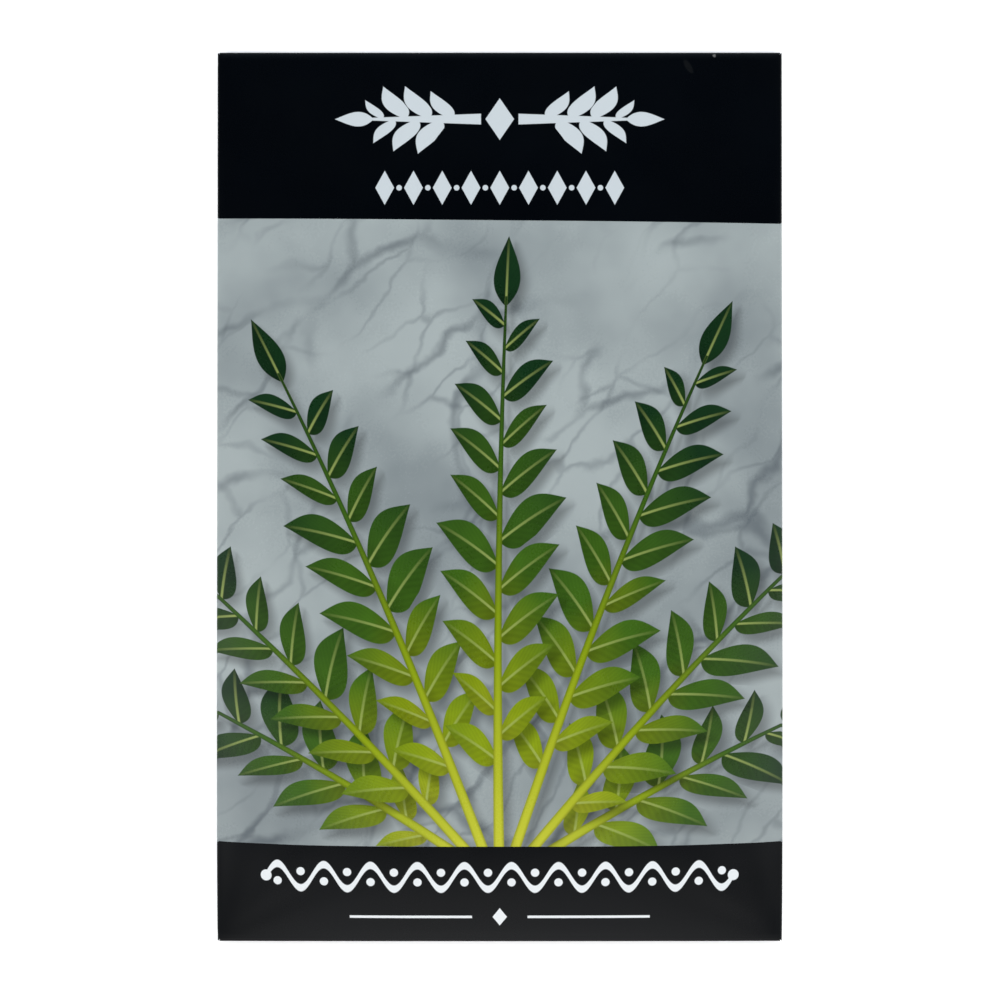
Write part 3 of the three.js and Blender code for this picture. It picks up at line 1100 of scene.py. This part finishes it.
prints = {
    "title_print": title_material,
    "picture_print": picture_material,
    "maker_print": maker_material,
    "back_print": back_print(),
    "bare_paper": bare_paper(),
}
for panel in PANELS:
    packet.data.materials.append(prints[panel])

# %% [markdown]
# ## The seeds
#
# Nobody sees the seeds until the packet is opened, but they give it its shape. Each is a small ribbed
# spindle, olive brown with paler ribs. A sphere makes one: it is stretched, its ribs are raised, and copies
# are laid in two layers by the spacing of a sunflower's head, each turned at random.

# %% Heap up the seeds
SEED_LENGTH = 6.4 * MM
SEED_RADIUS = 1.15 * MM
SEED_FLATNESS = 0.85
SEED_RIBS = 5
RIB_DEPTH = 0.12
RING_WEIGHT = 100  # large enough that a ring comes before any turn within it
SEED_COUNT = 84
HEAP_RISE = 1.7 * MM
SEED_CLEARANCE = 0.35 * MM
SEED_ROLL = 0.2  # radians
GOLDEN_ANGLE = math.pi * (3 - math.sqrt(5))
LOWER_LAYER = -1.0 * MM  # the lower layer's seeds, where the heap is deep enough for them
LOWER_REACH = 0.6  # how far out the lower layer goes, as a share of the heap
LOWER_TURN = 0.5  # radians by which the lower layer is turned against the upper one
SEED_RINGS = 6
SEED_BROWNS = (colour(96, 84, 44), colour(132, 124, 66))
RIB_PALE = colour(190, 178, 122)
RIB_RANGE = (0.1, 0.9)
RIB_PALENESS = 0.7
SEED_GRAIN = 0.5 * MM
GRAIN_DEPTH = 0.03 * MM
GRAIN_SHADE = (0.72, 0.5)  # least lightness, and what the grain adds to it
SEED_ROUGHNESS = (0.6, 0.2)  # least roughness, and what the grain adds to it
SEED_SHINE = 0.3

chance = random.Random(20)


def sphere_order(face):
    """Ring by ring and round each ring: Blender lists a new sphere's faces in another order on each run."""
    middle = face.calc_center_median()
    return middle.z * RING_WEIGHT + math.atan2(middle.y, middle.x)


def one_seed():
    """A seed along X, with its ribs' height kept for the material."""
    shape = bmesh.new()
    rib_layer = shape.verts.layers.float.new("rib")
    shape.verts.layers.float.new("tint")
    bmesh.ops.create_uvsphere(shape, u_segments=2 * SEED_RIBS, v_segments=SEED_RINGS, radius=1)
    shape.faces.sort(key=sphere_order)
    for vert in shape.verts:
        rib = math.cos(SEED_RIBS * math.atan2(vert.co.y, vert.co.x))
        swell = 1 + RIB_DEPTH * rib
        vert[rib_layer] = rib
        vert.co = (
            vert.co.z * SEED_LENGTH / 2,
            vert.co.x * swell * SEED_RADIUS,
            vert.co.y * swell * SEED_RADIUS * SEED_FLATNESS,
        )
    mesh = bpy.data.meshes.new("one_seed")
    bmesh.ops.recalc_face_normals(shape, faces=shape.faces)
    shape.to_mesh(mesh)
    shape.free()
    return mesh


def seed_level(x, y):
    """Height of the seeds' own middles in the upper layer."""
    rise = HEAP_RISE * max(0, 1 - outwards(x, y) ** 2)
    return back_level(x, y) + PAPER / 2 + SEED_CLEARANCE + SEED_RADIUS * (1 + RIB_DEPTH) + rise


def seed_heap():
    mesh = one_seed()
    heap = bmesh.new()
    heap.verts.layers.float.new("rib")
    tint_layer = heap.verts.layers.float.new("tint")
    for layer in (0.0, LOWER_LAYER):
        for i in range(SEED_COUNT):
            out = math.sqrt((i + 0.5) / SEED_COUNT)
            around = i * GOLDEN_ANGLE + (LOWER_TURN if layer else 0)
            x = out * HEAP_HALF_WIDTH * math.cos(around)
            y = HEAP_CENTRE + out * HEAP_HALF_HEIGHT * math.sin(around)
            heading = Matrix.Rotation(math.pi * chance.random(), 4, "Z")
            roll = Matrix.Rotation(chance.uniform(-SEED_ROLL, SEED_ROLL), 4, "X")
            tint = chance.random()
            if layer and outwards(x, y) > LOWER_REACH:
                continue
            before = len(heap.verts)
            heap.from_mesh(mesh)
            heap.verts.ensure_lookup_table()
            seed = heap.verts[before:]
            place = Matrix.Translation((x, y, seed_level(x, y) + layer))
            bmesh.ops.transform(heap, matrix=place @ heading @ roll, verts=seed)
            for vert in seed:
                vert[tint_layer] = tint
    for face in heap.faces:
        face.smooth = True
    piece = bpy.data.objects.new("seed_heap", bpy.data.meshes.new("seed_heap"))
    heap.to_mesh(piece.data)
    heap.free()
    bpy.context.collection.objects.link(piece)
    return piece


def seed_skin():
    finish = new_finish("seed_skin")
    place = finish.add("TexCoord", {}, {}).output("Object")
    rib = finish.add("Attribute", {"attribute_name": "rib"}, {}).output("Fac")
    tint = finish.add("Attribute", {"attribute_name": "tint"}, {}).output("Fac")
    grain = finish.mottle(place, SEED_GRAIN, detail=4, number=51)
    tone = finish.over(*SEED_BROWNS, tint)
    tone = finish.over(tone, RIB_PALE, finish.smooth(rib, *RIB_RANGE) * RIB_PALENESS)
    tone = finish.dimmed(tone, grain * GRAIN_SHADE[1] + GRAIN_SHADE[0])
    roughness = grain * SEED_ROUGHNESS[1] + SEED_ROUGHNESS[0]
    return finish.surface(tone, roughness, grain, GRAIN_DEPTH, SEED_SHINE)


seeds = seed_heap()
seeds.data.materials.append(seed_skin())
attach(seeds, "root")
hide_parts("seeds")
print(f"the seeds have {len(seeds.data.polygons)} faces")
